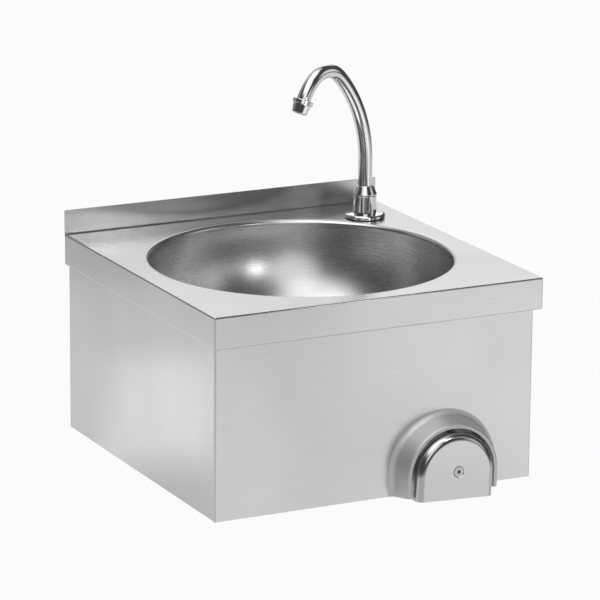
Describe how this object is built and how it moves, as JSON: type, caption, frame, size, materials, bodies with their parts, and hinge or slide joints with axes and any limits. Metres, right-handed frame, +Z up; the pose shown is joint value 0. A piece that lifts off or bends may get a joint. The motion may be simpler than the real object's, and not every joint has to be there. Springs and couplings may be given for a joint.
{
  "type": "knee-operated wall-hung hand wash basin",
  "caption": "Wall-hung stainless steel hand wash basin with a round bowl, splashback, swivel swan-neck spout and a spring-returned knee button that opens the mixing valve.",
  "frame": {"origin": "on the wall plane, midway between the centres of the two wall-fixing holes in the rear rail", "axes": "+X to the right as seen from the front, +Y into the wall, +Z up; the user stands at -Y"},
  "size_m": [0.4, 0.4256, 0.4218],
  "materials": {
    "satin_stainless": "satin",
    "stainless_hardware": "turned and drawn",
    "chromed_brass": "polished",
    "brass": "machined",
    "black_rubber": "matte",
    "white_plastic": "moulded",
    "hose_braid": "braided"
  },
  "bodies": {
    "basin": {"bowl": "satin_stainless", "check_valves": "white_plastic", "cold_inlet_nipple": "brass", "front_panel": "satin_stainless", "hose_lower_nut": "brass", "hose_upper_nut": "brass", "hot_inlet_nipple": "brass", "inlet_filters": "stainless_hardware", "knee_housing": "satin_stainless", "left_side_panel": "satin_stainless", "lower_hose_ferrule": "stainless_hardware", "lower_rear_rail": "satin_stainless", "outlet_elbow": "brass", "rear_rail": "satin_stainless", "return_spring": "stainless_hardware", "right_side_panel": "satin_stainless", "spout_nut": "chromed_brass", "stem_seal": "black_rubber", "tap_back_nut": "brass", "tap_body": "chromed_brass", "tap_flange": "chromed_brass", "tap_gasket": "black_rubber", "tap_hose": "hose_braid", "tap_rubber_washer": "black_rubber", "tap_shank": "brass", "tap_steel_washer": "stainless_hardware", "upper_hose_ferrule": "stainless_hardware", "valve_body": "brass", "valve_bonnet": "brass", "valve_bracket": "satin_stainless", "valve_lock_nut": "brass", "waste_body": "satin_stainless", "waste_grid": "satin_stainless", "waste_lower_seal": "black_rubber", "waste_screw": "stainless_hardware", "waste_upper_seal": "black_rubber", "worktop": "satin_stainless"},
    "knee_push": {"knee_button": "satin_stainless", "button_screw": "stainless_hardware", "push_rod": "stainless_hardware", "spring_seat": "stainless_hardware", "valve_plunger": "brass", "plunger_seal": "black_rubber"},
    "spout_arm": {"spout": "chromed_brass", "spout_ferrule": "brass", "spout_seals": "black_rubber", "aerator_shell": "chromed_brass", "aerator_seal": "black_rubber", "aerator_insert": "white_plastic"}
  },
  "joints": [
    {"name": "knee_press", "type": "slide", "parent": "basin", "child": "knee_push", "axis": [0, 1, 0], "range_m": [0, 0.01], "stiffness_N_per_m": 1500, "springref_m": -0.01, "deforming": ["return_spring"]},
    {"name": "spout_swivel", "type": "hinge", "parent": "basin", "child": "spout_arm", "pos_m": [0.1502, -0.07, 0.055], "axis": [0, 0, 1], "range_deg": [-40, 190]}
  ]
}
